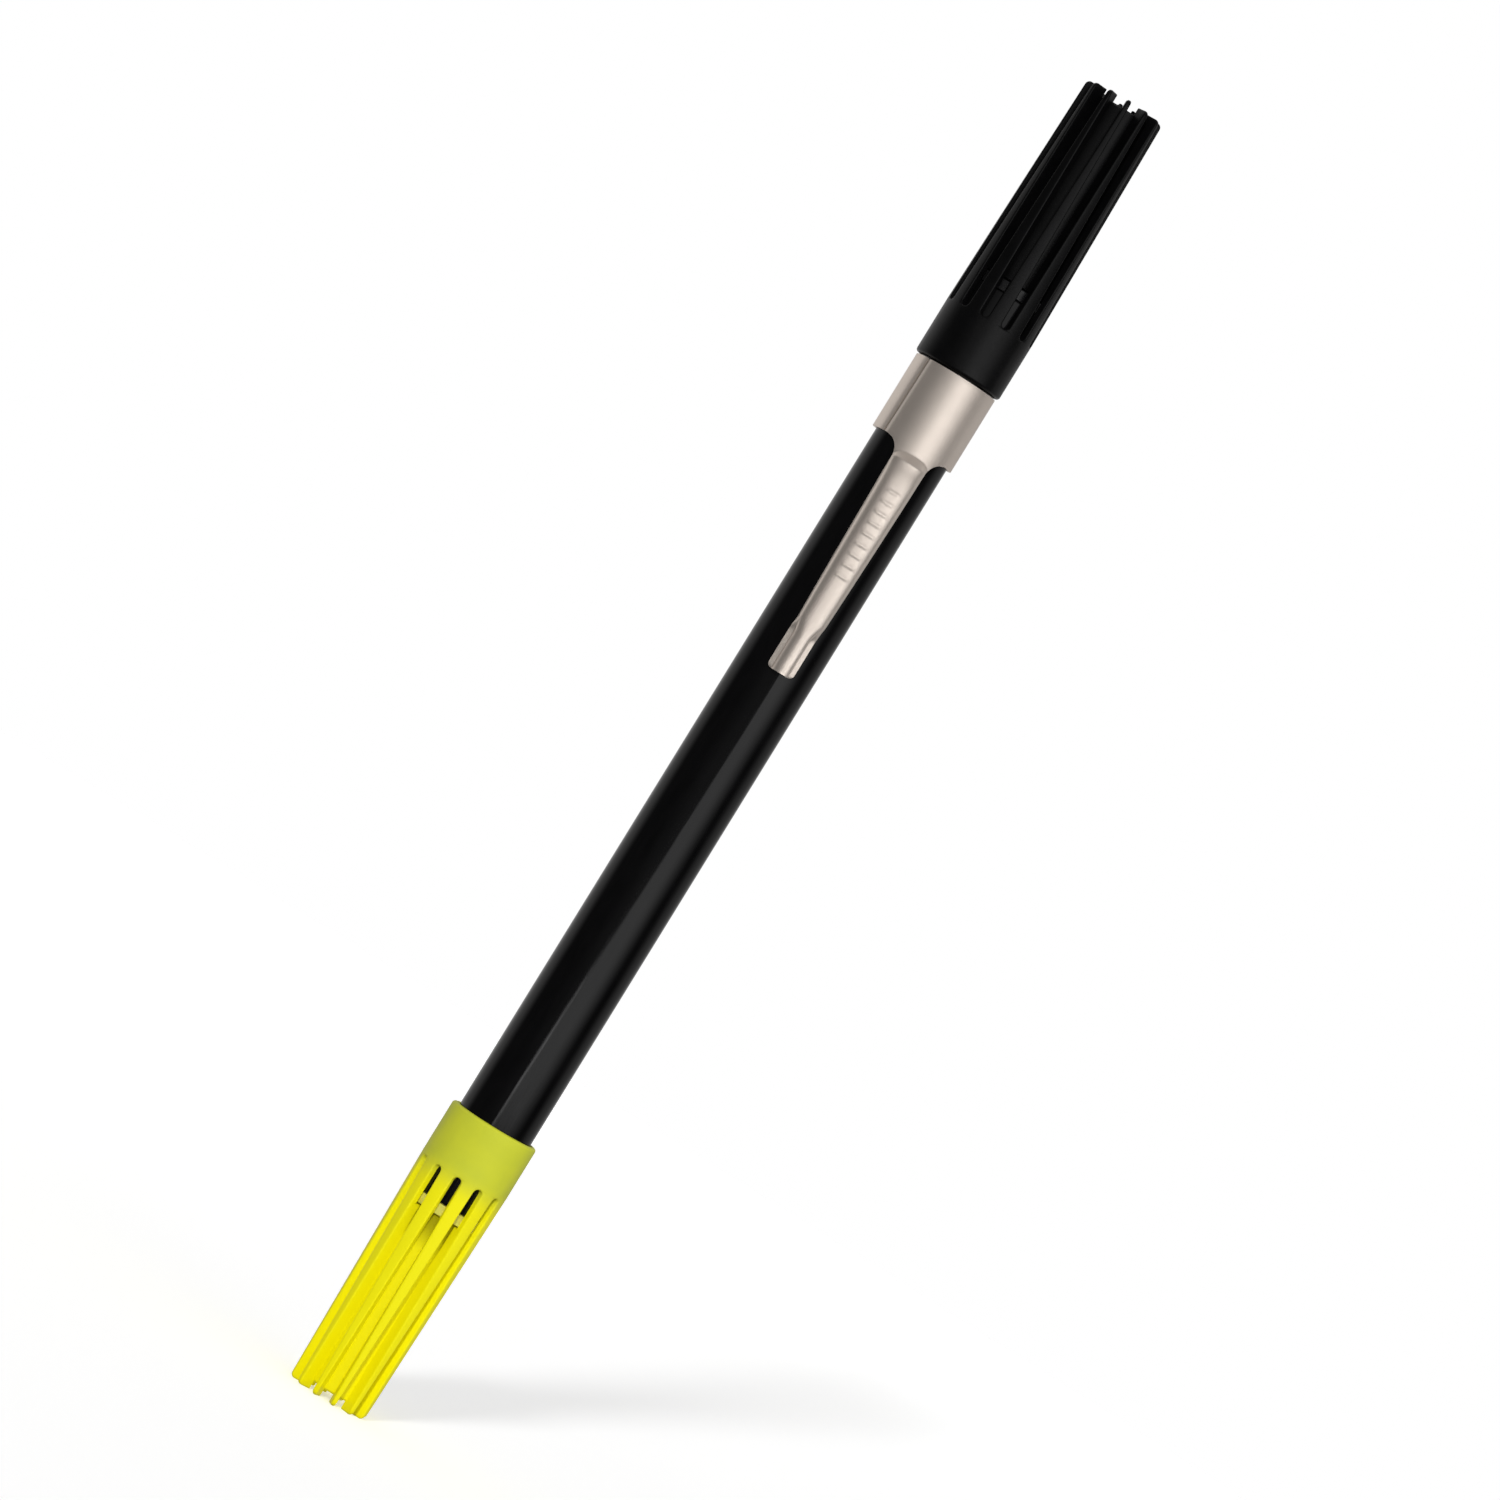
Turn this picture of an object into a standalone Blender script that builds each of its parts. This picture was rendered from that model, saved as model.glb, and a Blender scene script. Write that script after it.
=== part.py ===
"""Two-ended lens cleaning pen: a black barrel with a felt cleaning end under a yellow cap and a dust
brush under a black cap, and a plated spring clip on the barrel.

Frame: metres, +Z along the pen's axis. The origin is on the axis at the plane of the yellow cap's fin
tips, on which the pen stands; the black cap is at the top, and the clip faces -Y.
All driving sizes below are in millimetres.
"""

import math

import bmesh
import bpy

MM = 0.001

# ------------------------------------------------------------------ driving sizes, mm
TOTAL_L = 158.0  # overall length, both caps on
CAP_L = 33.3  # both caps come from the same mould
COLLAR_R = 5.05  # plain collar at the cap's mouth
COLLAR_H = 6.35  # length of the collar before the slots start
TIP_R = 4.56  # radius over the fins at their far end
FINS = 12
SLOT_START_HALF = 0.50  # half width of a slot next to the collar, and its round end's radius
SLOT_END_HALF = 0.92  # half width of a slot at the far end
FLOOR_START_HALF = 0.38  # half width of a slot's floor next to the collar
FLOOR_END_HALF = 0.55
CAP_BORE_R = 4.34  # the collar slides over the barrel
CAP_STOP_H = 10.95  # where the inner sealing tube starts, from the mouth
TUBE_START_R = 3.32  # outer radius of the inner sealing tube
TUBE_END_R = 3.10
SEAL_R = 2.60  # its bore, which seals on a holder's nose
TUBE_END_H = 32.40  # closed end of the tube; the fins stand 0.9 past it
TUBE_BORE_END_H = 31.60

BARREL_R = 4.27
BARREL_BORE_R = 3.50
BARREL_IN_CAP = 9.55  # how far the barrel reaches into a cap

BAND_R = 4.76  # outside of the clip's band
SHEET = 0.42  # its sheet thickness
BAND_TOP_GAP = 0.20  # between the band and the black cap's mouth
BAND_H = 8.75
SEAM_DEG = -54.0  # where the band is split, from the clip's middle
SEAM_HALF_GAP = 0.13
NECK_HALF = 2.07  # half width of the neck between band and arm
NECK_FILLET = 1.90
FLEX_DROP = 0.55  # flex line, below the band's lower edge
FLEX_GAP = 0.24
ARM_END_Z = 88.65

YELLOW_MOUTH_Z = CAP_L
BLACK_MOUTH_Z = TOTAL_L - CAP_L
BARREL_LOW_Z = YELLOW_MOUTH_Z - BARREL_IN_CAP
BARREL_HIGH_Z = BLACK_MOUTH_Z + BARREL_IN_CAP
BAND_TOP_Z = BLACK_MOUTH_Z - BAND_TOP_GAP
BAND_LOW_Z = BAND_TOP_Z - BAND_H
FLEX_Z = BAND_LOW_Z - FLEX_DROP
FILLET_Z = BAND_LOW_Z - NECK_FILLET

YELLOW_TURN = -9.0  # degrees: middle of the slot nearest the front
BLACK_TURN = 11.5

ROUND = 48  # facets of a turned piece
FINE_ROUND = 32  # of a small one


# ------------------------------------------------------------------ helpers
def clear_scene():
    for obj in list(bpy.data.objects):
        bpy.data.objects.remove(obj, do_unlink=True)


def material(name, color, roughness, metallic=0.0):
    mat = bpy.data.materials.get(name)
    if mat is None:
        mat = bpy.data.materials.new(name)
        mat.use_nodes = True
        shader = mat.node_tree.nodes["Principled BSDF"]
        shader.inputs["Base Color"].default_value = (*color, 1.0)
        shader.inputs["Roughness"].default_value = roughness
        shader.inputs["Metallic"].default_value = metallic
    return mat


def add(name, bm, mat, smooth_deg=30.0):
    mesh = bpy.data.meshes.new(name)
    bm.to_mesh(mesh)
    bm.free()
    mesh.shade_smooth()
    mesh.set_sharp_from_angle(angle=math.radians(smooth_deg))
    obj = bpy.data.objects.new(name, mesh)
    bpy.context.scene.collection.objects.link(obj)
    if mat is not None:
        mesh.materials.append(mat)
    return obj


def spun(profile, steps, closed):
    """A bmesh turned about Z from (r, z) points in mm. An open profile has both ends on the axis."""
    bm = bmesh.new()
    verts = [bm.verts.new((r * MM, 0.0, z * MM)) for r, z in profile]
    edges = [bm.edges.new((a, b)) for a, b in zip(verts, verts[1:])]
    if closed:
        edges.append(bm.edges.new((verts[-1], verts[0])))
    bmesh.ops.spin(
        bm,
        geom=verts + edges,
        cent=(0, 0, 0),
        axis=(0, 0, 1),
        angle=2 * math.pi,
        steps=steps,
        use_merge=True,
        use_duplicate=False,
    )
    bmesh.ops.remove_doubles(bm, verts=bm.verts, dist=1e-6)
    bmesh.ops.recalc_face_normals(bm, faces=bm.faces)
    return bm


def turned(name, profile, mat, steps=ROUND, closed=True):
    return add(name, spun(profile, steps, closed), mat)


def upside_down(profile, mirror_z):
    """The same profile for a piece that faces the other end of the pen."""
    return [(r, mirror_z - z) for r, z in profile]


def lerp(a, b, t):
    return a + (b - a) * t


def smooth(t):
    t = min(1.0, max(0.0, t))
    return t * t * (3 - 2 * t)


# ------------------------------------------------------------------ caps
def cap_outer_r(h):
    """Radius over collar and fins at h mm from the mouth."""
    edge, end_round = 0.35, 0.5
    if h < edge:
        return COLLAR_R - edge + math.sqrt(max(0.0, edge**2 - (edge - h) ** 2))
    r = COLLAR_R if h < COLLAR_H else lerp(COLLAR_R, TIP_R, (h - COLLAR_H) / (CAP_L - COLLAR_H))
    into = h - (CAP_L - end_round)
    if into > 0:
        r -= end_round - math.sqrt(max(0.0, end_round**2 - into**2))
    return r


def slot_open(h):
    """0 in the collar, rising to 1 along the slot's round end."""
    into = h - COLLAR_H
    if into <= 0:
        return 0.0
    if into >= SLOT_START_HALF:
        return 1.0
    return math.sqrt(1 - ((SLOT_START_HALF - into) / SLOT_START_HALF) ** 2)


def tube_r(h):
    return lerp(TUBE_START_R, TUBE_END_R, (h - CAP_STOP_H) / (TUBE_END_H - CAP_STOP_H))


def slot_half_angle(h, r):
    """Half the slot's angle as seen from the axis, at radius r."""
    t = (h - COLLAR_H) / (CAP_L - COLLAR_H)
    outer = lerp(SLOT_START_HALF, SLOT_END_HALF, max(0.0, t))
    floor = lerp(FLOOR_START_HALF, FLOOR_END_HALF, max(0.0, t))
    along = (r - TUBE_START_R) / (COLLAR_R - TUBE_START_R)
    return slot_open(h) * lerp(floor, outer, along) / r


def fin_shell(rows, arcs):
    """The collar and its fins as one closed mesh: each fin is a bar lofted through the rows, and next to
    the collar's plain part neighbouring bars share their edges. rows are (h, inner radius) pairs."""
    bm = bmesh.new()
    pitch = 2 * math.pi / FINS
    for k in range(FINS):
        loops = []
        for h, r_in in rows:
            r_out = cap_outer_r(h)
            loop = []
            for r, order in ((r_out, range(arcs + 1)), (r_in, range(arcs, -1, -1))):
                half = slot_half_angle(h, r)
                for i in order:
                    a = k * pitch + lerp(half, pitch - half, i / arcs)
                    loop.append(bm.verts.new((r * math.sin(a) * MM, -r * math.cos(a) * MM, h * MM)))
            loops.append(loop)
        count = len(loops[0])
        for row in range(len(rows) - 1):
            closed_here = slot_open(rows[row][0]) == 0 and slot_open(rows[row + 1][0]) == 0
            for i in range(count):
                is_wall = i in (arcs, count - 1)
                if is_wall and closed_here:
                    continue
                j = (i + 1) % count
                bm.faces.new((loops[row][i], loops[row][j], loops[row + 1][j], loops[row + 1][i]))
        bm.faces.new(loops[0])
        bm.faces.new(loops[-1])
    bmesh.ops.remove_doubles(bm, verts=bm.verts, dist=1e-6)
    bmesh.ops.recalc_face_normals(bm, faces=bm.faces)
    return bm


def cap_rows():
    """(distance from the mouth, inner radius) of each section through collar and fins."""
    rows = [(0.0, CAP_BORE_R + 0.22), (0.12, CAP_BORE_R + 0.08), (0.35, CAP_BORE_R), (COLLAR_H, CAP_BORE_R)]
    rows += [(COLLAR_H + SLOT_START_HALF * s, CAP_BORE_R) for s in (0.07, 0.29, 0.62, 1.0)]
    shoulder = CAP_STOP_H + 0.2
    rows += [(shoulder, CAP_BORE_R), (shoulder + 0.01, tube_r(shoulder) - 0.15)]
    rows += [(h, tube_r(h) - 0.15) for h in (22.0, CAP_L - 0.5, CAP_L - 0.22, CAP_L)]
    return rows


def make_cap(name, mat, mouth_z, turn_deg, opens_up):
    """A vented push-on cap. opens_up puts its mouth at the top, as on the pen's lower end."""
    shell = add(name, fin_shell(cap_rows(), 3), mat)
    tube = turned(
        name + "_tube_form",
        [
            (0.0, TUBE_END_H),
            (TUBE_END_R - 0.2, TUBE_END_H),
            (TUBE_END_R, TUBE_END_H - 0.2),
            (TUBE_START_R, CAP_STOP_H + 0.15),
            (TUBE_START_R - 0.15, CAP_STOP_H),
            (SEAL_R + 0.22, CAP_STOP_H),
            (SEAL_R, CAP_STOP_H + 0.4),
            (SEAL_R, TUBE_BORE_END_H - 0.4),
            (SEAL_R - 0.4, TUBE_BORE_END_H),
            (0.0, TUBE_BORE_END_H),
        ],
        None,
        steps=36,
        closed=False,
    )
    tube.hide_render = True
    tube.display_type = "WIRE"
    union = shell.modifiers.new("inner tube", "BOOLEAN")
    union.operation = "UNION"
    union.object = tube
    for obj in (shell, tube):
        if opens_up:
            obj.rotation_euler = (math.pi, 0.0, math.radians(turn_deg))
        else:
            obj.rotation_euler = (0.0, 0.0, math.radians(turn_deg))
        obj.location = (0.0, 0.0, mouth_z * MM)
    return shell


# ------------------------------------------------------------------ clip
def arm_half_width(z):
    """Half width of the arm across the pen, mm. It narrows to a waist just above the foot."""
    waist_z, foot_z = 94.6, 93.9
    if z >= FILLET_Z:
        s = NECK_HALF + NECK_FILLET - math.sqrt(max(0.0, NECK_FILLET**2 - (z - FILLET_Z) ** 2))
        return BAND_R * math.sin(s / BAND_R)
    neck = BAND_R * math.sin(NECK_HALF / BAND_R)
    if z >= waist_z:
        return lerp(1.55, neck, ((z - waist_z) / (FILLET_Z - waist_z)) ** 0.85)
    if z >= foot_z:
        return lerp(1.64, 1.55, smooth((z - foot_z) / (waist_z - foot_z)))
    tip_round = 0.45
    into = (ARM_END_Z + tip_round) - z
    narrow = tip_round - math.sqrt(max(0.0, tip_round**2 - into**2)) if into > 0 else 0.0
    return 1.64 - narrow


def arm_crest(z):
    """Distance of the arm's outer crest from the pen's axis, mm."""
    stops = ((FILLET_Z, 5.85), (111.0, 6.10), (104.0, 6.12), (98.0, 5.85), (94.0, 5.62), (90.5, 5.66), (ARM_END_Z, 5.74))
    if z >= stops[0][0]:
        return stops[0][1]
    for (z1, r1), (z2, r2) in zip(stops, stops[1:]):
        if z >= z2:
            return lerp(r2, r1, smooth((z - z2) / (z1 - z2)))
    return stops[-1][1]


def arm_section(u, z):
    """(across, outward) in mm of the arm's outer skin: u runs from -1 to 1 across it."""
    half, crest = arm_half_width(z), arm_crest(z)
    low = math.sqrt(BARREL_R**2 - max(0.0, half - SHEET) ** 2) + 0.16
    if z > 112.0:
        low = lerp(low, math.sqrt(BAND_R**2 - half**2), smooth((z - 112.0) / (FILLET_Z - 112.0)))
    sag = min(crest - low, 0.985 * half)
    radius = (half**2 + sag**2) / (2 * sag)
    reach = math.asin(min(1.0, half / radius))
    a = u * reach
    arc = (radius * math.sin(a), crest - radius * (1 - math.cos(a)))
    # the foot: a raised rib between two nearly flat flanges
    foot = 1 - smooth((z - 93.3) / 1.3)
    if foot <= 0:
        return arc
    rib, bend, knee = 1.00, math.radians(60), 0.64
    v = abs(u)
    rise = crest - 4.76
    radius = rise / (1 - math.cos(bend))
    if v <= knee:
        b = bend * v / knee
        x, y = rib * math.sin(b) / math.sin(bend), crest - radius * (1 - math.cos(b))
    else:
        t = (v - knee) / (1 - knee)
        x, y = lerp(rib, half, t), 4.76 - 0.16 * t
    return (lerp(arc[0], math.copysign(x, u), foot), lerp(arc[1], y, foot))


def clip_point(u, z):
    """The clip's outer skin below the band: on the band's cylinder at the neck, then up a short ramp."""
    half = arm_half_width(z)
    ramp_low = FILLET_Z + 0.10
    if z <= ramp_low:
        x, y = arm_section(u, z)
        return x, -y
    x = half * math.sin(u * math.pi / 2 * 0.97) / math.sin(math.pi / 2 * 0.97)
    band_y = math.sqrt(BAND_R**2 - x**2)
    edge, crest = arm_half_width(FILLET_Z), arm_crest(FILLET_Z)
    sag = min(crest - math.sqrt(BAND_R**2 - edge**2), 0.985 * edge)
    radius = (edge**2 + sag**2) / (2 * sag)
    rise = 0.0
    if abs(x) < edge:
        rise = max(0.0, crest - radius + math.sqrt(radius**2 - x**2) - band_y)
    start = ramp_low + max(0.02, 0.85 * rise)
    return x, -(band_y + rise * smooth((start - z) / (start - ramp_low)))


def sheet_object(name, grid, mat):
    """A grid of points made into sheet metal, its thickness going inwards from the outer skin."""
    bm = bmesh.new()
    rows = [[bm.verts.new([c * MM for c in p]) for p in row] for row in grid]
    for a, b in zip(rows, rows[1:]):
        for i in range(len(a) - 1):
            bm.faces.new((a[i], b[i], b[i + 1], a[i + 1]))
    obj = add(name, bm, mat, 40.0)
    solid = obj.modifiers.new("sheet thickness", "SOLIDIFY")
    solid.thickness = SHEET * MM
    solid.offset = -1.0
    solid.use_even_offset = False
    return obj


def make_band(mat):
    """The split spring band, with the top of the neck on its lower edge at the front."""
    flex_s = NECK_HALF + NECK_FILLET - math.sqrt(NECK_FILLET**2 - (FLEX_Z - FILLET_Z) ** 2)
    end_s = NECK_HALF + NECK_FILLET
    gap = SEAM_HALF_GAP / BAND_R
    seam = math.radians(SEAM_DEG)
    front = [s / BAND_R for s in (flex_s, lerp(flex_s, end_s, 0.3), lerp(flex_s, end_s, 0.62), end_s)]
    angles = [seam + gap] + [-a for a in reversed(front)]
    angles += [lerp(-front[0], front[0], i / 6) for i in range(1, 6)] + front
    last = seam - gap + 2 * math.pi
    back = 28
    angles += [lerp(front[-1], last, i / back) for i in range(1, back + 1)]
    top, low = [], []
    for a in angles:
        s = abs(a) * BAND_R
        if s <= flex_s + 1e-9:
            z = FLEX_Z + FLEX_GAP / 2
        elif s < end_s:
            z = FILLET_Z + math.sqrt(NECK_FILLET**2 - (end_s - s) ** 2)
        else:
            z = BAND_LOW_Z
        point = (BAND_R * math.sin(a), -BAND_R * math.cos(a))
        top.append((*point, BAND_TOP_Z))
        low.append((*point, max(z, FLEX_Z + FLEX_GAP / 2)))
    return sheet_object("clip_band", [top, low], mat)


def make_arm(mat):
    """The spring arm, from the flex line to the foot that presses on the barrel."""
    start = FLEX_Z - FLEX_GAP / 2
    heights = [start, lerp(start, FILLET_Z, 0.45), FILLET_Z + 0.45, FILLET_Z + 0.1, 112.9]
    heights += [110.5, 107.0, 103.0, 99.5, 96.8, 95.3, 94.5, 93.9, 93.2, 91.5, ARM_END_Z + 0.45, ARM_END_Z + 0.13, ARM_END_Z]
    across = 10
    grid = []
    for z in heights:
        row = []
        for i in range(across + 1):
            u = -1 + 2 * i / across
            x, y = clip_point(u, z)
            row.append((x, y, z))
        grid.append(row)
    return sheet_object("clip_arm", grid, mat)


# ------------------------------------------------------------------ pieces inside
def groove_core(mat, r, z0, z1, groove_half, groove_floor, bore_r, bore_end, arcs=28):
    """The fibre reservoir: a rod with a groove along its back for the breather tube, and a hole in its
    lower end for the wick."""
    edge = math.asin(groove_half / r)
    outline = [(r * math.sin(a), r * math.cos(a)) for a in (lerp(edge, 2 * math.pi - edge, i / arcs) for i in range(arcs + 1))]
    outline += [(-groove_half, groove_floor), (groove_half, groove_floor)]
    bm = bmesh.new()
    face = bm.faces.new([bm.verts.new((x * MM, y * MM, z0 * MM)) for x, y in outline])
    made = bmesh.ops.extrude_face_region(bm, geom=[face])
    moved = [v for v in made["geom"] if isinstance(v, bmesh.types.BMVert)]
    bmesh.ops.translate(bm, verts=moved, vec=(0, 0, (z1 - z0) * MM))
    bmesh.ops.recalc_face_normals(bm, faces=bm.faces)
    core = add("reservoir_core", bm, mat)
    drill = turned(
        "wick_hole_form",
        [(0.0, z0 - 1.0), (bore_r, z0 - 1.0), (bore_r, bore_end - 1.2), (0.0, bore_end)],
        None,
        steps=16,
        closed=False,
    )
    drill.hide_render = True
    drill.display_type = "WIRE"
    cut = core.modifiers.new("wick hole", "BOOLEAN")
    cut.operation = "DIFFERENCE"
    cut.object = drill
    return core


def holder_nose(neck_end, socket_r, socket_end, mirror=None):
    """Points of a holder's outside below its flange: sealing bead, straight nose and cone."""
    flange_low = BARREL_LOW_Z - 1.3
    return [
        (3.90, BARREL_LOW_Z - 0.10),
        (3.90, flange_low + 0.15),
        (3.75, flange_low),
        (2.50, flange_low),
        (2.50, 20.6),
        (2.56, 20.2),
        (2.56, 19.8),
        (2.50, 19.4),
        (2.50, neck_end + 2.2),
        (2.20, neck_end),
        (socket_r, neck_end),
        (socket_r, socket_end),
    ]


def main():
    clear_scene()
    gloss_black = material("barrel_black", (0.010, 0.010, 0.011), 0.22)
    satin_black = material("cap_black", (0.012, 0.012, 0.013), 0.42)
    yellow = material("cap_yellow", (0.86, 0.80, 0.01), 0.40)
    nickel = material("clip_nickel", (0.74, 0.67, 0.60), 0.28, 1.0)
    natural = material("holder_natural", (0.80, 0.78, 0.70), 0.45)
    moulded_black = material("holder_black", (0.012, 0.012, 0.013), 0.40)
    felt = material("felt_white", (0.82, 0.81, 0.76), 0.95)
    fibre = material("reservoir_fibre", (0.86, 0.86, 0.84), 0.95)
    film = material("reservoir_film", (0.75, 0.80, 0.84), 0.15)
    tubing = material("breather_tubing", (0.85, 0.85, 0.83), 0.35)
    brass = material("ferrule_nickel", (0.70, 0.69, 0.67), 0.30, 1.0)
    hair = material("brush_hair", (0.030, 0.026, 0.024), 0.70)
    epoxy = material("epoxy_amber", (0.35, 0.20, 0.06), 0.25)

    # barrel: a plain tube, its ends slightly rounded
    turned(
        "barrel",
        [
            (BARREL_BORE_R, BARREL_LOW_Z),
            (BARREL_R - 0.15, BARREL_LOW_Z),
            (BARREL_R, BARREL_LOW_Z + 0.15),
            (BARREL_R, BARREL_HIGH_Z - 0.15),
            (BARREL_R - 0.15, BARREL_HIGH_Z),
            (BARREL_BORE_R, BARREL_HIGH_Z),
        ],
        gloss_black,
    )

    make_cap("yellow_cap", yellow, YELLOW_MOUTH_Z, YELLOW_TURN, True)
    make_cap("black_cap", satin_black, BLACK_MOUTH_Z, BLACK_TURN, False)

    make_band(nickel)
    make_arm(nickel)

    # felt end: holder pressed into the barrel, felt pad in its nose, wick to the reservoir
    plug_r = BARREL_BORE_R - 0.05
    turned(
        "tip_holder",
        [(plug_r, BARREL_LOW_Z - 0.10)]
        + holder_nose(13.5, 1.85, 17.5)
        + [(0.98, 17.5), (0.98, 28.8), (3.12, 28.8), (3.12, 33.2), (plug_r - 0.15, 33.2), (plug_r, 32.9)],
        natural,
        steps=28,
    )
    turned(
        "cleaning_pad",
        [
            (0.0, 7.2),
            (0.70, 7.32),
            (1.25, 7.75),
            (1.60, 8.45),
            (1.75, 9.40),
            (1.80, 10.6),
            (1.80, 17.2),
            (0.95, 17.2),
            (0.95, 14.8),
            (0.0, 14.8),
        ],
        felt,
        steps=FINE_ROUND,
        closed=False,
    )
    turned(
        "wick",
        [(0.0, 15.0), (0.75, 15.0), (0.90, 15.2), (0.90, 35.6), (0.30, 36.9), (0.0, 37.0)],
        felt,
        steps=16,
        closed=False,
    )
    core_low, core_high = 29.1, 101.0
    groove_core(fibre, 2.88, core_low, core_high, 0.62, 1.70, 0.95, 37.6)
    turned(
        "reservoir_film",
        [(2.93, core_low - 0.1), (3.06, core_low - 0.1), (3.06, core_high + 0.15), (2.93, core_high + 0.15)],
        film,
        steps=24,
    )
    # the breather tube lies in the reservoir's groove, on the side away from the clip
    tube = turned(
        "breather_tube",
        [(0.28, core_low + 0.2), (0.50, core_low + 0.2), (0.50, core_high - 0.2), (0.28, core_high - 0.2)],
        tubing,
        steps=14,
    )
    tube.location = (0.0, 2.28 * MM, 0.0)
    turned(
        "reservoir_stop",
        [
            (0.0, 101.5),
            (plug_r - 0.3, 101.5),
            (plug_r, 101.8),
            (plug_r, 106.2),
            (plug_r - 0.7, 106.2),
            (plug_r - 0.7, 102.8),
            (0.0, 102.8),
        ],
        natural,
        steps=28,
        closed=False,
    )

    # brush end: the same nose on the holder, with a ferrule and its tuft
    middle = BARREL_LOW_Z + BARREL_HIGH_Z
    turned(
        "brush_holder",
        upside_down(
            [(plug_r, BARREL_LOW_Z - 0.10)]
            + holder_nose(15.2, 2.02, 20.6)
            + [(0.0, 20.6)],
            middle,
        )[::-1]
        + [(plug_r, 126.9), (plug_r - 0.3, 126.6), (2.55, 126.6), (2.55, 134.4), (0.0, 134.9)],
        moulded_black,
        steps=28,
        closed=False,
    )
    crimp = 145.2
    turned(
        "brush_ferrule",
        [
            (1.95, 137.7),
            (1.95, crimp - 0.9),
            (1.80, crimp - 0.25),
            (1.80, crimp + 0.25),
            (1.95, crimp + 0.9),
            (1.95, 147.6),
            (1.76, 147.6),
            (1.76, crimp + 0.85),
            (1.62, crimp + 0.2),
            (1.62, crimp - 0.2),
            (1.76, crimp - 0.85),
            (1.76, 137.7),
        ],
        brass,
        steps=24,
    )
    turned(
        "bristle_glue_plug",
        [(0.0, 137.8), (1.70, 137.8), (1.70, 139.5), (0.0, 139.5)],
        epoxy,
        steps=20,
        closed=False,
    )
    turned(
        "brush_tuft",
        [
            (0.0, 139.7),
            (1.68, 139.7),
            (1.68, crimp - 1.0),
            (1.54, crimp - 0.3),
            (1.54, crimp + 0.3),
            (1.68, crimp + 1.0),
            (1.72, 147.7),
            (1.98, 149.3),
            (2.14, 151.0),
            (2.02, 152.7),
            (1.55, 154.0),
            (0.85, 154.75),
            (0.0, 155.0),
        ],
        hair,
        steps=24,
        closed=False,
    )


main()
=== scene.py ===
"""The looks of the two-ended lens cleaning pen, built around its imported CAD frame."""

import math
import random

import bmesh
import bpy
import numpy as np
from mathutils import Matrix, Vector


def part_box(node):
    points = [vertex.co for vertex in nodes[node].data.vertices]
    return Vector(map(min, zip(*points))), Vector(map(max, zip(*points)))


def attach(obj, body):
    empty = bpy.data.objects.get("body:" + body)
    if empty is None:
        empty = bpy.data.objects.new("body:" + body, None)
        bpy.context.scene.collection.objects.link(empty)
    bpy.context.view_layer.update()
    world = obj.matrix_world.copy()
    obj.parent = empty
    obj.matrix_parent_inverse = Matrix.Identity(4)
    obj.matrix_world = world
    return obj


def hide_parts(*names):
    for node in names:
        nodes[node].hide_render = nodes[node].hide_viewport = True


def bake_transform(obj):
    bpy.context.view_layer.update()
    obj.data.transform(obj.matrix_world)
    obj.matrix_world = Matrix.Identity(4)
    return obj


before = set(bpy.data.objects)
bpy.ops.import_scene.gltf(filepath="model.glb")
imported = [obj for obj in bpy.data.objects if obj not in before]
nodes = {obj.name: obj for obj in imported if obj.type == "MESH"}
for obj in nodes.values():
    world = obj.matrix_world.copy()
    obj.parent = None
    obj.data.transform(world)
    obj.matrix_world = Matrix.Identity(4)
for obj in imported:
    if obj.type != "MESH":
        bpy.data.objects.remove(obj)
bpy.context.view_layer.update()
MM = 0.001


def mm(node):
    low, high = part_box(node)
    return [x * 1000 for x in low], [x * 1000 for x in high]


# ------------------------------------------------------------------ sizes, mm, read off the frame
(_, _, Y_LOW), (_, _, Y_HIGH) = mm("yellow_cap")
(_, _, K_LOW), (_, _, K_HIGH) = mm("black_cap")
CAP_L = Y_HIGH - Y_LOW
COLLAR_R = max(mm("yellow_cap")[1][0], 5.0)
BARREL_LOW, BARREL_HIGH = mm("barrel")[0][2], mm("barrel")[1][2]
BARREL_R = mm("barrel")[1][0]
BAND_TOP = mm("clip_band")[1][2]
BAND_R = mm("clip_band")[1][0]
ARM_END = mm("clip_arm")[0][2]
NECK_TOP = mm("clip_arm")[1][2]

COLLAR_H = 6.35
TIP_R = 4.56
FINS = 12
SLOT_START_HALF, SLOT_END_HALF = 0.50, 0.92
FLOOR_START_HALF, FLOOR_END_HALF = 0.38, 0.55
CAP_BORE_R = BARREL_R + 0.07
CAP_STOP_H = 10.95
TUBE_START_R, TUBE_END_R = 3.32, 3.10
SEAL_R = 2.60
TUBE_END_H, TUBE_BORE_END_H = 32.40, 31.60
YELLOW_TURN, BLACK_TURN = -11.2, 11.5

BAND_H = 8.75
SHEET = 0.42
SEAM_DEG, SEAM_HALF_GAP = -54.0, 0.13
NECK_HALF, NECK_FILLET = 2.07, 1.90
BAND_LOW = BAND_TOP - BAND_H
FILLET_Z = BAND_LOW - NECK_FILLET
CAMERA_TURN = -8.0  # degrees: the clip stands 8 degrees to the right of the camera's line


def lerp(a, b, t):
    return a + (b - a) * t


def smooth(t):
    t = min(1.0, max(0.0, t))
    return t * t * (3 - 2 * t)


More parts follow.
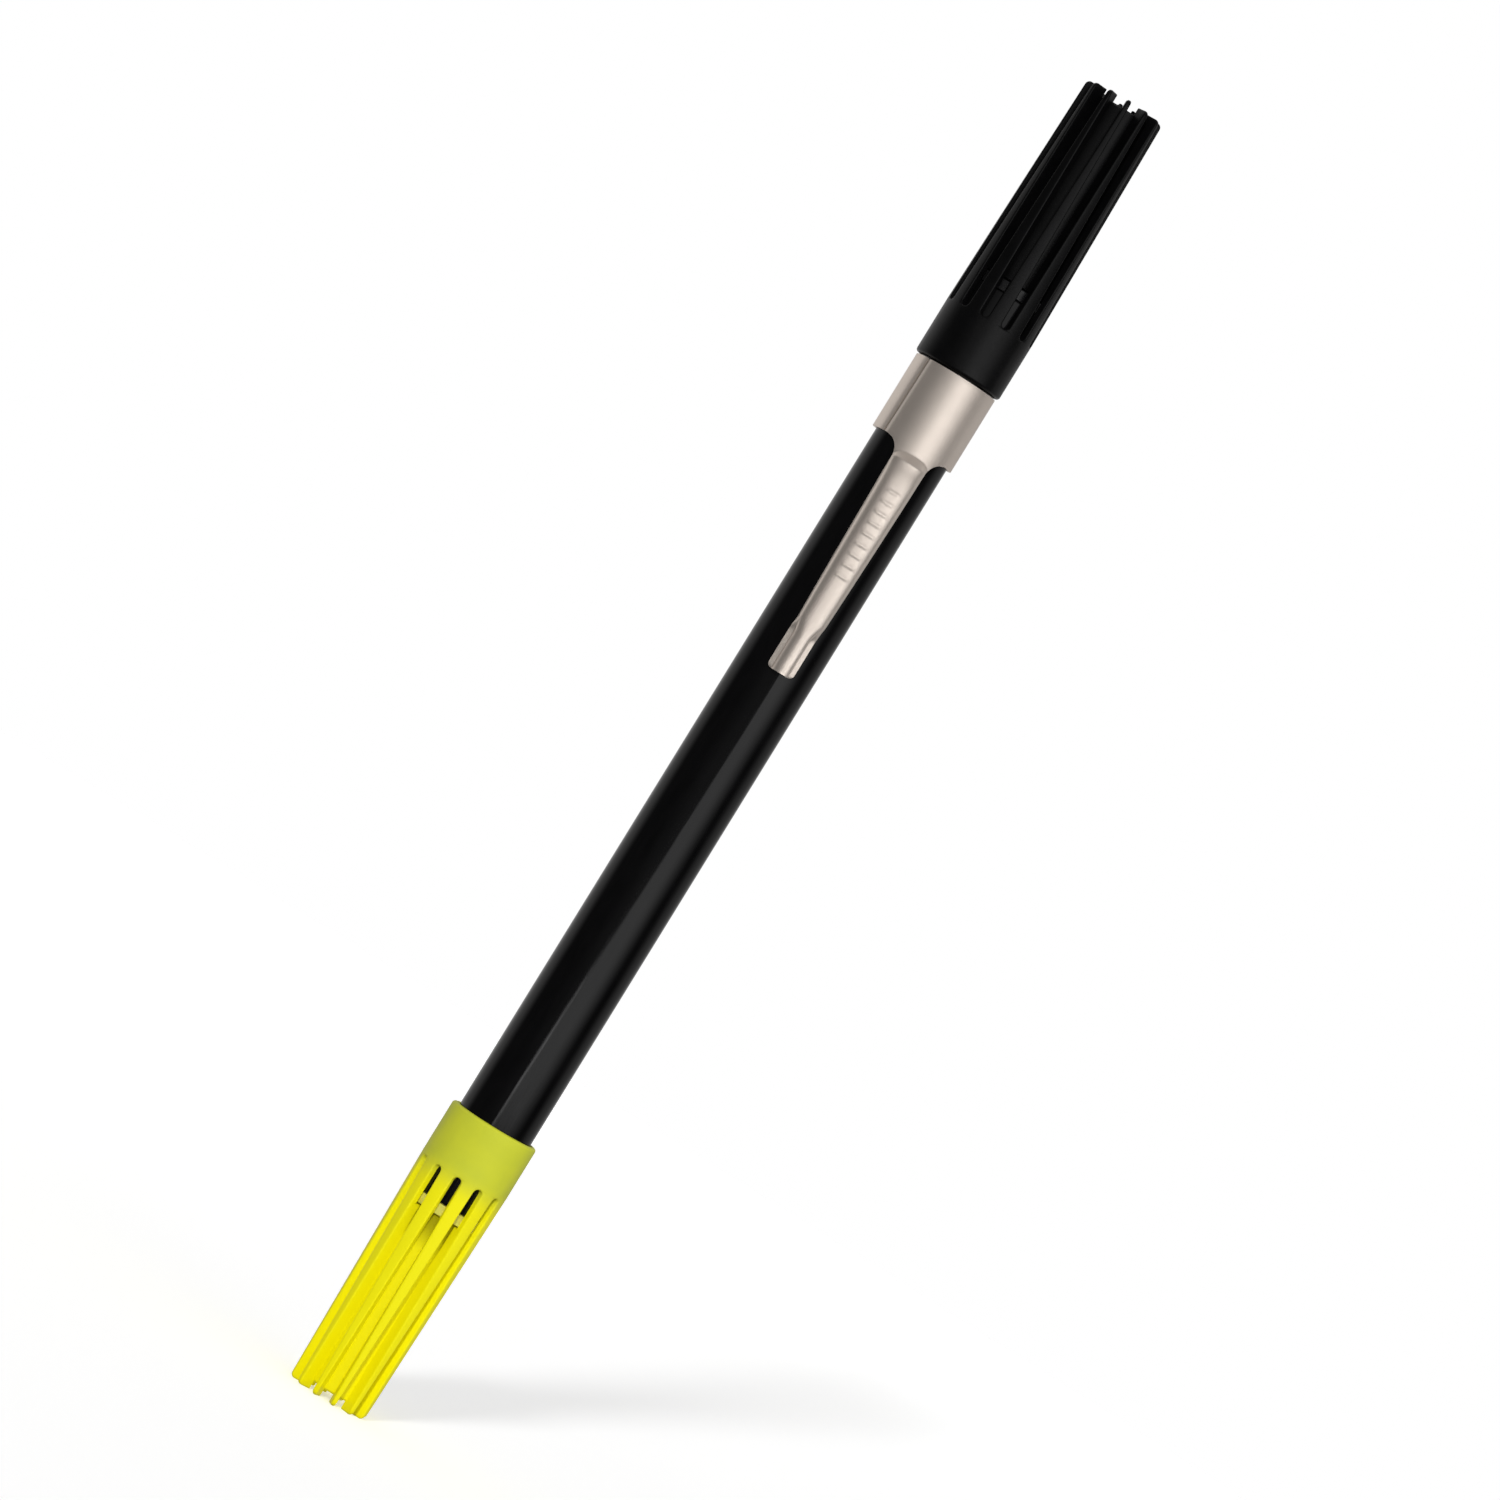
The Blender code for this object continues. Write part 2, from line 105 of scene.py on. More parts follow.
# ------------------------------------------------------------------ node helpers
class Nodes:
    """A small builder for a procedural material."""

    def __init__(self, name):
        self.mat = bpy.data.materials.new(name)
        self.mat.use_nodes = True
        self.tree = self.mat.node_tree
        self.bsdf = self.tree.nodes["Principled BSDF"]
        self.coords = self.tree.nodes.new("ShaderNodeTexCoord").outputs["Object"]

    def new(self, kind, **values):
        node = self.tree.nodes.new(kind)
        for key, value in values.items():
            if hasattr(node, key):
                setattr(node, key, value)
            else:
                node.inputs[key.replace("_", " ")].default_value = value
        return node

    def link(self, a, b):
        self.tree.links.new(a, b)

    def mapped(self, scale):
        node = self.new("ShaderNodeMapping")
        node.inputs["Scale"].default_value = scale
        self.link(self.coords, node.inputs["Vector"])
        return node.outputs["Vector"]

    def noise(self, scale, detail=3.0, rough=0.55, stretch=(1, 1, 1)):
        node = self.new("ShaderNodeTexNoise")
        node.inputs["Scale"].default_value = scale
        node.inputs["Detail"].default_value = detail
        node.inputs["Roughness"].default_value = rough
        self.link(self.mapped(stretch), node.inputs["Vector"])
        return node.outputs["Fac"]

    def ramp(self, fac, stops, mode="LINEAR"):
        node = self.new("ShaderNodeValToRGB")
        node.color_ramp.interpolation = mode
        parts = node.color_ramp.elements
        while len(parts) < len(stops):
            parts.new(0.5)
        for element, (at, color) in zip(parts, stops):
            element.position = at
            element.color = (*color, 1.0) if hasattr(color, "__len__") else (color, color, color, 1.0)
        self.link(fac, node.inputs["Fac"])
        return node.outputs["Color"]

    def math(self, op, a, b=None):
        node = self.new("ShaderNodeMath", operation=op)
        for socket, value in zip(node.inputs, (a, b)):
            if value is None:
                continue
            if hasattr(value, "links"):
                self.link(value, socket)
            else:
                socket.default_value = value
        return node.outputs[0]

    def mix(self, fac, a, b, blend="MIX"):
        node = self.new("ShaderNodeMix", data_type="RGBA", blend_type=blend)
        for socket, value in ((node.inputs[0], fac), (node.inputs[6], a), (node.inputs[7], b)):
            if hasattr(value, "links"):
                self.link(value, socket)
            elif hasattr(value, "__len__"):
                socket.default_value = (*value, 1.0)
            else:
                socket.default_value = value
        return node.outputs[2]

    def map_range(self, value, a, b, c, d, kind="SMOOTHSTEP"):
        node = self.new("ShaderNodeMapRange", interpolation_type=kind)
        self.link(value, node.inputs["Value"])
        for key, number in zip(("From Min", "From Max", "To Min", "To Max"), (a, b, c, d)):
            node.inputs[key].default_value = number
        return node.outputs["Result"]

    def axis(self, which):
        node = self.new("ShaderNodeSeparateXYZ")
        self.link(self.coords, node.inputs[0])
        return node.outputs[which]

    def bump(self, height, strength, distance):
        node = self.new("ShaderNodeBump")
        node.inputs["Strength"].default_value = strength
        node.inputs["Distance"].default_value = distance
        self.link(height, node.inputs["Height"])
        self.link(node.outputs["Normal"], self.bsdf.inputs["Normal"])
        return node

    def set(self, key, value):
        socket = self.bsdf.inputs[key]
        if hasattr(value, "links"):
            self.link(value, socket)
        elif hasattr(value, "__len__"):
            socket.default_value = (*value, 1.0)
        else:
            socket.default_value = value


def barrel_material():
    n = Nodes("barrel_gloss_black")
    cloud = n.noise(900, 3, 0.6, (1, 1, 0.25))
    n.set("Base Color", n.ramp(cloud, [(0.3, (0.0014, 0.0014, 0.0015)), (0.75, (0.0024, 0.0023, 0.0025))]))
    fine = n.noise(14000, 2, 0.5, (1, 1, 0.03))
    n.set("Roughness", n.map_range(fine, 0.3, 0.75, 0.065, 0.115))
    n.set("IOR", 1.32)
    long = n.noise(600, 2, 0.5, (1, 1, 0.06))
    both = n.math("ADD", n.math("MULTIPLY", long, 1.0), n.math("MULTIPLY", fine, 0.10))
    n.bump(both, 0.10, 0.00012)
    return n.mat


def cap_black_material():
    n = Nodes("cap_satin_black")
    cloud = n.noise(500, 3, 0.6)
    n.set("Base Color", n.ramp(cloud, [(0.3, (0.0010, 0.0010, 0.0011)), (0.75, (0.0020, 0.0019, 0.0021))]))
    grain = n.noise(9000, 4, 0.65)
    n.set("Roughness", n.map_range(grain, 0.3, 0.7, 0.28, 0.40))
    n.set("IOR", 1.30)
    n.bump(grain, 0.22, 0.00003)
    return n.mat


def cap_yellow_material():
    n = Nodes("cap_fluorescent_yellow_painted_glow_and_shade")
    z = n.axis("Z")
    low, high = (Y_HIGH - 8.8) * MM, (Y_HIGH - 5.2) * MM
    # painted shade: the collar lies right on the black barrel, which swallows the light through the thin plastic, so it
    # is painted darker and greener than the fins
    collar_shade_mask = n.map_range(z, low, high, 0.0, 1.0)
    deep = n.map_range(z, 0.0, 0.020, 0.0, 1.0, "LINEAR")
    fins = n.mix(deep, (0.680, 0.612, 0.0), (0.670, 0.621, 0.003))
    color = n.mix(collar_shade_mask, fins, (0.424, 0.453, 0.030))
    cloud = n.noise(260, 3, 0.55)
    color = n.mix(n.map_range(cloud, 0.3, 0.75, 0.0, 0.16), color, (0.70, 0.67, 0.012))
    # painted shade: the closed tube inside is painted darker towards the barrel it swallows
    flat = n.new("ShaderNodeVectorMath", operation="MULTIPLY")
    flat.inputs[1].default_value = (1, 1, 0)
    n.link(n.coords, flat.inputs[0])
    far = n.new("ShaderNodeVectorMath", operation="LENGTH")
    n.link(flat.outputs[0], far.inputs[0])
    inside = n.map_range(far.outputs["Value"], 3.36 * MM, 3.60 * MM, 1.0, 0.0)
    near = n.map_range(z, (Y_HIGH - 15.5) * MM, (Y_HIGH - 11.5) * MM, 0.0, 1.0)
    shade = n.math("MULTIPLY", inside, near)
    color = n.mix(n.math("MULTIPLY", shade, 0.75), color, (0.16, 0.14, 0.0))
    n.set("Base Color", color)
    # painted glow: the yellow gives off a faint light of its own, standing in for fluorescence and light passing
    # through the fins; dimmer on the collar and in the painted shade inside
    n.set("Emission Color", n.mix(shade, n.mix(collar_shade_mask, (1.0, 0.93, 0.0), (0.42, 0.45, 0.02)), (0.30, 0.28, 0.0)))
    n.bsdf.inputs["Emission Strength"].default_value = 0.032
    grain = n.noise(8000, 4, 0.6)
    n.set("Roughness", n.map_range(grain, 0.3, 0.7, 0.38, 0.50))
    n.set("IOR", 1.26)
    n.bump(grain, 0.16, 0.00003)
    return n.mat


def nickel_material(name="clip_satin_nickel", tint=(0.95, 0.845, 0.755), rough=(0.38, 0.48), metal=0.90):
    n = Nodes(name)
    cloud = n.noise(420, 4, 0.6)
    n.set("Base Color", n.mix(n.map_range(cloud, 0.3, 0.75, 0.0, 1.0), tuple(c * 0.965 for c in tint), tint))
    n.bsdf.inputs["Metallic"].default_value = metal
    satin = n.noise(7000, 5, 0.7, (1, 1, 0.5))
    n.set("Roughness", n.map_range(satin, 0.3, 0.7, rough[0], rough[1]))
    peel = n.noise(1300, 2, 0.5)
    both = n.math("ADD", n.math("MULTIPLY", peel, 0.35), n.math("MULTIPLY", satin, 0.5))
    n.bump(both, 0.10, 0.00002)
    return n.mat


def plastic_material(name, low, high, rough=(0.35, 0.5), sss=0.0):
    n = Nodes(name)
    cloud = n.noise(400, 3, 0.6)
    n.set("Base Color", n.mix(n.map_range(cloud, 0.3, 0.75, 0.0, 1.0), low, high))
    grain = n.noise(7000, 3, 0.6)
    n.set("Roughness", n.map_range(grain, 0.3, 0.7, *rough))
    n.bsdf.inputs["Subsurface Weight"].default_value = sss
    n.bsdf.inputs["Subsurface Scale"].default_value = 0.0006
    n.bump(grain, 0.15, 0.00003)
    return n.mat


def fibre_material(name, low, high, along=0.12, scale=5200):
    n = Nodes(name)
    strands = n.noise(scale, 4, 0.65, (1, 1, along))
    n.set("Base Color", n.mix(n.map_range(strands, 0.3, 0.7, 0.0, 1.0), low, high))
    n.set("Roughness", n.map_range(strands, 0.3, 0.7, 0.8, 0.98))
    n.bsdf.inputs["Sheen Weight"].default_value = 0.25
    n.bump(strands, 0.7, 0.00008)
    return n.mat


def film_material():
    n = Nodes("reservoir_clear_film")
    wrap = n.noise(900, 3, 0.6, (1, 1, 0.3))
    n.set("Base Color", n.mix(n.map_range(wrap, 0.3, 0.75, 0.0, 1.0), (0.70, 0.76, 0.81), (0.80, 0.85, 0.88)))
    n.set("Roughness", n.map_range(wrap, 0.3, 0.75, 0.08, 0.2))
    n.bump(wrap, 0.2, 0.00005)
    return n.mat


def hair_material():
    n = Nodes("brush_dark_hair")
    strands = n.noise(2600, 3, 0.6, (1, 1, 0.1))
    n.set("Base Color", n.mix(n.map_range(strands, 0.25, 0.75, 0.0, 1.0), (0.016, 0.013, 0.011), (0.060, 0.046, 0.037)))
    n.set("Roughness", n.map_range(strands, 0.3, 0.7, 0.35, 0.6))
    n.bump(strands, 0.3, 0.00002)
    return n.mat


# ------------------------------------------------------------------ mesh helpers
def add(name, bm, mat, smooth_deg=40.0):
    mesh = bpy.data.meshes.new(name)
    bm.to_mesh(mesh)
    bm.free()
    mesh.shade_smooth()
    mesh.set_sharp_from_angle(angle=math.radians(smooth_deg))
    obj = bpy.data.objects.new(name, mesh)
    bpy.context.scene.collection.objects.link(obj)
    if mat is not None:
        mesh.materials.append(mat)
    return obj


def rounded(profile, radius=0.12, steps=4):
    """The closed (r, z) profile with its corners off the axis rounded."""
    out = []
    n = len(profile)
    for i, p in enumerate(profile):
        a, b = profile[i - 1], profile[(i + 1) % n]
        p_, a_, b_ = Vector(p), Vector(a), Vector(b)
        u, v = a_ - p_, b_ - p_
        if p[0] < 1e-6 or u.length < 1e-6 or v.length < 1e-6 or abs(u.angle(v) - math.pi) < 0.12:
            out.append(tuple(p))
            continue
        cut = min(radius / math.tan(u.angle(v) / 2), 0.42 * u.length, 0.42 * v.length)
        s, e = p_ + u.normalized() * cut, p_ + v.normalized() * cut
        # the flats next to a rounding start with a narrow strip, which keeps their shading flat
        if u.length - cut > 0.5:
            q = s + u.normalized() * 0.06
            out.append((q.x, q.y))
        for k in range(steps + 1):
            t = k / steps
            q = s * (1 - t) ** 2 + p_ * 2 * t * (1 - t) + e * t**2
            out.append((q.x, q.y))
        if v.length - cut > 0.5:
            q = e + v.normalized() * 0.06
            out.append((q.x, q.y))
    return out


def lathe(name, profile, mat, steps=96, closed=True, radius=0.12, smooth_deg=40.0):
    points = rounded(profile, radius) if closed else rounded_open(profile, radius)
    bm = bmesh.new()
    verts = [bm.verts.new((r * MM, 0.0, z * MM)) for r, z in points]
    edges = [bm.edges.new((a, b)) for a, b in zip(verts, verts[1:])]
    if closed:
        edges.append(bm.edges.new((verts[-1], verts[0])))
    bmesh.ops.spin(bm, geom=verts + edges, cent=(0, 0, 0), axis=(0, 0, 1), angle=2 * math.pi, steps=steps, use_merge=True)
    bmesh.ops.remove_doubles(bm, verts=bm.verts, dist=1e-7)
    bmesh.ops.recalc_face_normals(bm, faces=bm.faces)
    return add(name, bm, mat, smooth_deg)


def rounded_open(profile, radius):
    inner = rounded([*profile, (0.0, profile[-1][1]), (0.0, profile[0][1])], radius)
    return [p for p in inner if p[0] > 1e-6 or p in ((0.0, profile[0][1]), (0.0, profile[-1][1]))][: len(inner)]


def evaluated(obj, name):
    """A new object holding obj's mesh with its modifiers applied; obj is removed."""
    bpy.context.view_layer.update()
    graph = bpy.context.evaluated_depsgraph_get()
    mesh = bpy.data.meshes.new_from_object(obj.evaluated_get(graph))
    mesh.name = name
    old = obj.name
    bpy.data.objects.remove(obj)
    new = bpy.data.objects.new(name or old, mesh)
    bpy.context.scene.collection.objects.link(new)
    return new


# ------------------------------------------------------------------ caps
def slot_half(h):
    return lerp(SLOT_START_HALF, SLOT_END_HALF, max(0.0, (h - COLLAR_H) / (CAP_L - COLLAR_H)))


def floor_half(h):
    return lerp(FLOOR_START_HALF, FLOOR_END_HALF, max(0.0, (h - COLLAR_H) / (CAP_L - COLLAR_H)))


def slot_open(h):
    into = h - COLLAR_H
    if into <= 0:
        return 0.0
    if into >= SLOT_START_HALF:
        return 1.0
    return math.sqrt(1 - ((SLOT_START_HALF - into) / SLOT_START_HALF) ** 2)


def slot_distance(s, h):
    """How far (s across, h along) lies from the slot's edge, mm."""
    middle = COLLAR_H + SLOT_START_HALF
    if h >= middle:
        return abs(s) - slot_half(h)
    return math.hypot(s, h - middle) - SLOT_START_HALF


def cap_outer_r(h):
    edge, end_round = 0.35, 0.5
    if h < edge:
        return COLLAR_R - edge + math.sqrt(max(0.0, edge**2 - (edge - h) ** 2))
    r = COLLAR_R if h < COLLAR_H else lerp(COLLAR_R, TIP_R, (h - COLLAR_H) / (CAP_L - COLLAR_H))
    into = h - (CAP_L - end_round)
    if into > 0:
        r -= end_round - math.sqrt(max(0.0, end_round**2 - into**2))
    return r


def tube_r(h):
    return lerp(TUBE_START_R, TUBE_END_R, (h - CAP_STOP_H) / (TUBE_END_H - CAP_STOP_H))


EDGE_ROUND = 0.17


def edge_drop(distance):
    """How much a fin's outer skin falls away close to a slot."""
    if distance >= EDGE_ROUND:
        return 0.0
    d = max(0.0, distance)
    return EDGE_ROUND - math.sqrt(max(0.0, EDGE_ROUND**2 - (EDGE_ROUND - d) ** 2))


def cap_form():
    """The cap as one mesh, its mouth at z = 0 and its fins going up."""
    bm = bmesh.new()
    pitch = 2 * math.pi / FINS
    hs = [0.0, 0.05, 0.12, 0.22, 0.35, 1.2, 2.6, 4.2, 5.4, COLLAR_H - 0.30, COLLAR_H - 0.17, COLLAR_H - 0.11, COLLAR_H - 0.06, COLLAR_H - 0.02, COLLAR_H]
    hs += [COLLAR_H + SLOT_START_HALF * (1 - math.cos(a * math.pi / 2)) for a in (0.12, 0.22, 0.34, 0.46, 0.58, 0.70, 0.82, 0.92, 1.0)]
    hs += [COLLAR_H + 0.8, 8.2, 9.6, CAP_STOP_H + 0.05]
    inner_from = len(hs)
    hs += [CAP_STOP_H + 0.10] + list(np.linspace(12.5, CAP_L - 0.9, 12)) + [CAP_L - 0.5, CAP_L - 0.36, CAP_L - 0.24, CAP_L - 0.14, CAP_L - 0.06, CAP_L - 0.015, CAP_L]
    near = [0.0, 0.012, 0.04, 0.08, 0.125, EDGE_ROUND]
    for k in range(FINS):
        loops = []
        for i, h in enumerate(hs):
            r_out = cap_outer_r(h)
            r_in = CAP_BORE_R if i < inner_from else tube_r(h) - 0.15
            if h < 0.35:
                r_in += 0.22 * (1 - smooth(h / 0.35))
            tip = max(0.0, h - (CAP_L - 0.14))
            squeeze = 0.14 - math.sqrt(max(0.0, 0.14**2 - tip**2))
            half = slot_open(h) * slot_half(h) + squeeze
            width = pitch * r_out - 2 * half
            # across the outer skin: close rows at each slot's edge, wider ones between
            offsets = [min(d, width * 0.5 * d / 0.36) if width < 0.72 else d for d in near]
            mid = [lerp(offsets[-1], width - offsets[-1], t) for t in (0.2, 0.4, 0.6, 0.8)]
            across = offsets + mid + [width - d for d in reversed(offsets)]
            loop = []
            for w in across:
                s = half + w
                d = min(slot_distance(s, h), slot_distance(pitch * r_out - s, h))
                r = r_out - (edge_drop(d) if h > COLLAR_H - 0.4 else 0.0)
                a = k * pitch + s / r_out
                loop.append(bm.verts.new((r * math.sin(a) * MM, -r * math.cos(a) * MM, h * MM)))
            # down the right wall, across the inner face, up the left one
            r_edge = r_out - EDGE_ROUND * (1.0 if slot_open(h) > 0 else 0.0)
            low_half = slot_open(h) * floor_half(h) + squeeze
            walls = [0.35, 0.7]
            for t in walls:
                r = lerp(r_edge, r_in, t)
                a = k * pitch + pitch - lerp(half, low_half, t) / r
                loop.append(bm.verts.new((r * math.sin(a) * MM, -r * math.cos(a) * MM, h * MM)))
            for t in (0.0, 0.25, 0.5, 0.75, 1.0):
                a = k * pitch + lerp(pitch - low_half / r_in, low_half / r_in, t)
                loop.append(bm.verts.new((r_in * math.sin(a) * MM, -r_in * math.cos(a) * MM, h * MM)))
            for t in reversed(walls):
                r = lerp(r_edge, r_in, t)
                a = k * pitch + lerp(half, low_half, t) / r
                loop.append(bm.verts.new((r * math.sin(a) * MM, -r * math.cos(a) * MM, h * MM)))
            loops.append(loop)
        count = len(loops[0])
        outer = len(near) * 2 + 4
        right = set(range(outer - 1, outer + 2))
        left = set(range(outer + 2 + 4, count))
        for row in range(len(hs) - 1):
            closed_here = slot_open(hs[row]) == 0 and slot_open(hs[row + 1]) == 0
            for i in range(count):
                if closed_here and (i in right or i in left):
                    continue
                j = (i + 1) % count
                bm.faces.new((loops[row][i], loops[row][j], loops[row + 1][j], loops[row + 1][i]))
        # the mouth's face, between the outer skin and the inner one, and the fin's end, each as one face
        bm.faces.new(loops[0])
        bm.faces.new(loops[-1])
    bmesh.ops.remove_doubles(bm, verts=bm.verts, dist=2e-7)
    loose = [v for v in bm.verts if not v.link_faces]
    bmesh.ops.delete(bm, geom=loose, context="VERTS")
    bmesh.ops.recalc_face_normals(bm, faces=bm.faces)
    shell = add("cap_shell", bm, None)
    tube = lathe(
        "cap_tube",
        [
            (0.0, TUBE_END_H),
            (TUBE_END_R - 0.2, TUBE_END_H),
            (TUBE_END_R, TUBE_END_H - 0.2),
            (TUBE_START_R, CAP_STOP_H + 0.15),
            (TUBE_START_R - 0.15, CAP_STOP_H),
            (SEAL_R + 0.22, CAP_STOP_H),
            (SEAL_R, CAP_STOP_H + 0.4),
            (SEAL_R, TUBE_BORE_END_H - 0.4),
            (SEAL_R - 0.4, TUBE_BORE_END_H),
            (0.0, TUBE_BORE_END_H),
        ],
        None,
        steps=96,
        closed=False,
        radius=0.0,
    )
    union = shell.modifiers.new("inner tube", "BOOLEAN")
    union.operation = "UNION"
    union.object = tube
    cap = evaluated(shell, "cap_form")
    bpy.data.objects.remove(tube)
    return cap


def place_cap(form, name, mat, mouth, turn, opens_up, body):
    mesh = form.data.copy()
    mesh.name = name
    spin = Matrix.Rotation(math.radians(turn), 4, "Z")
    if opens_up:
        spin = spin @ Matrix.Rotation(math.pi, 4, "X")
    mesh.transform(Matrix.Translation((0, 0, mouth * MM)) @ spin)
    mesh.materials.clear()
    mesh.materials.append(mat)
    mesh.shade_smooth()
    mesh.set_sharp_from_angle(angle=math.radians(38))
    obj = bpy.data.objects.new(name, mesh)
    bpy.context.scene.collection.objects.link(obj)
    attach(obj, body)
    return obj


# ------------------------------------------------------------------ clip
def fillet_s(z):
    """Half the neck's width along the band's skin: the two fillets open upwards into the band."""
    return NECK_HALF + NECK_FILLET - math.sqrt(max(0.0, NECK_FILLET**2 - (z - FILLET_Z) ** 2))


def arm_half_width(z):
    waist_z, foot_z = 94.6, 93.9
    neck = BAND_R * math.sin(NECK_HALF / BAND_R)
    if z >= FILLET_Z:
        return BAND_R * math.sin(fillet_s(z) / BAND_R)
    if z >= waist_z:
        return lerp(1.55, neck, ((z - waist_z) / (FILLET_Z - waist_z)) ** 0.85)
    if z >= foot_z:
        return lerp(1.55, 1.55, smooth((z - foot_z) / (waist_z - foot_z)))
    tip_round = 0.55
    into = (ARM_END + tip_round) - z
    narrow = tip_round - math.sqrt(max(0.0, tip_round**2 - into**2)) if into > 0 else 0.0
    return 1.55 - narrow


def arm_crest(z):
    """The arm bows away from the barrel: up from the ledge, then evenly down to the waist."""
    stops = ((ARM_END, 5.72), (90.5, 5.66), (94.0, 5.64), (104.5, 5.97), (108.0, 6.03), (110.8, 6.00), (112.3, 5.86), (FILLET_Z, 5.57))
    heights, radii = zip(*stops)
    z = min(z, FILLET_Z)
    return float(np.mean([np.interp(min(z + d, FILLET_Z), heights, radii) for d in (-0.6, -0.4, -0.2, 0.0, 0.2, 0.4, 0.6)]))


def arm_section(u, z):
    half, crest = arm_half_width(z), arm_crest(z)
    low = math.sqrt(BARREL_R**2 - max(0.0, half - SHEET) ** 2) + 0.16
    if z > 112.0:
        low = lerp(low, math.sqrt(BAND_R**2 - half**2), smooth((z - 112.0) / (FILLET_Z - 112.0)))
    sag = min(crest - low, 0.985 * half)
    # a flattened crown that rolls down into the two side flanges
    a = u * math.pi / 2
    power = 2 / lerp(2.75, 2.1, smooth((z - 111.5) / 2.3))
    arc = (half * math.copysign(abs(math.sin(a)) ** power, u), crest - sag * (1 - abs(math.cos(a)) ** power))
    foot = 1 - smooth((z - 92.9) / 2.1)
    if foot <= 0:
        return arc
    # the rib is pressed steeper on its right side
    rib, knee, power = 0.98, 0.62, 2 / 3.0 if u > 0 else 2 / 1.8
    v = abs(u)
    rise = crest - 4.76
    if v <= knee:
        b = math.pi / 2 * v / knee
        x, y = rib * abs(math.sin(b)) ** power, crest - rise * (1 - abs(math.cos(b)) ** power)
    else:
        t = (v - knee) / (1 - knee)
        x, y = lerp(rib, half, t), 4.76 - 0.16 * t
    x = math.copysign(x, u) - 0.16
    return (lerp(arc[0], x, foot), lerp(arc[1], y, foot))


MARKS = [110.6 - 1.27 * i for i in range(9)]


def mark_rise(x, z):
    """Shallow raised bars across the arm."""
    best = 0.0
    for at in MARKS:
        across = smooth((0.82 - abs(x)) / 0.22)
        along = smooth((0.27 - abs(z - at)) / 0.22)
        best = max(best, across * along)
    return 0.052 * best


def ledge(t):
    """A straight ramp with short rounded ends."""
    t, e = min(1.0, max(0.0, t)), 0.2
    if t < e:
        return t**2 / (2 * e * (1 - e))
    if t > 1 - e:
        return 1 - (1 - t) ** 2 / (2 * e * (1 - e))
    return (t - e / 2) / (1 - e)


def clip_point(u, z):
    """(x, y) of the outer skin below the band."""
    half = arm_half_width(z)
    ramp_low = FILLET_Z + 0.10
    if z <= ramp_low:
        x, y = arm_section(u, z)
        return x, -(y + mark_rise(x, z))
    s = fillet_s(z) * u
    x = BAND_R * math.sin(s / BAND_R)
    band_y = BAND_R * math.cos(s / BAND_R)
    edge, crest = arm_half_width(FILLET_Z), arm_crest(FILLET_Z)
    sag = min(crest - math.sqrt(BAND_R**2 - edge**2), 0.985 * edge)
    rise = 0.0
    if abs(x) < edge:
        shape = 2.1
        rise = max(0.0, crest - sag * (1 - (1 - (abs(x) / edge) ** shape) ** (1 / shape)) - band_y)
    start = ramp_low + max(0.02, 1.30 * rise)
    return x, -(band_y + rise * ledge((start - z) / (start - ramp_low)))


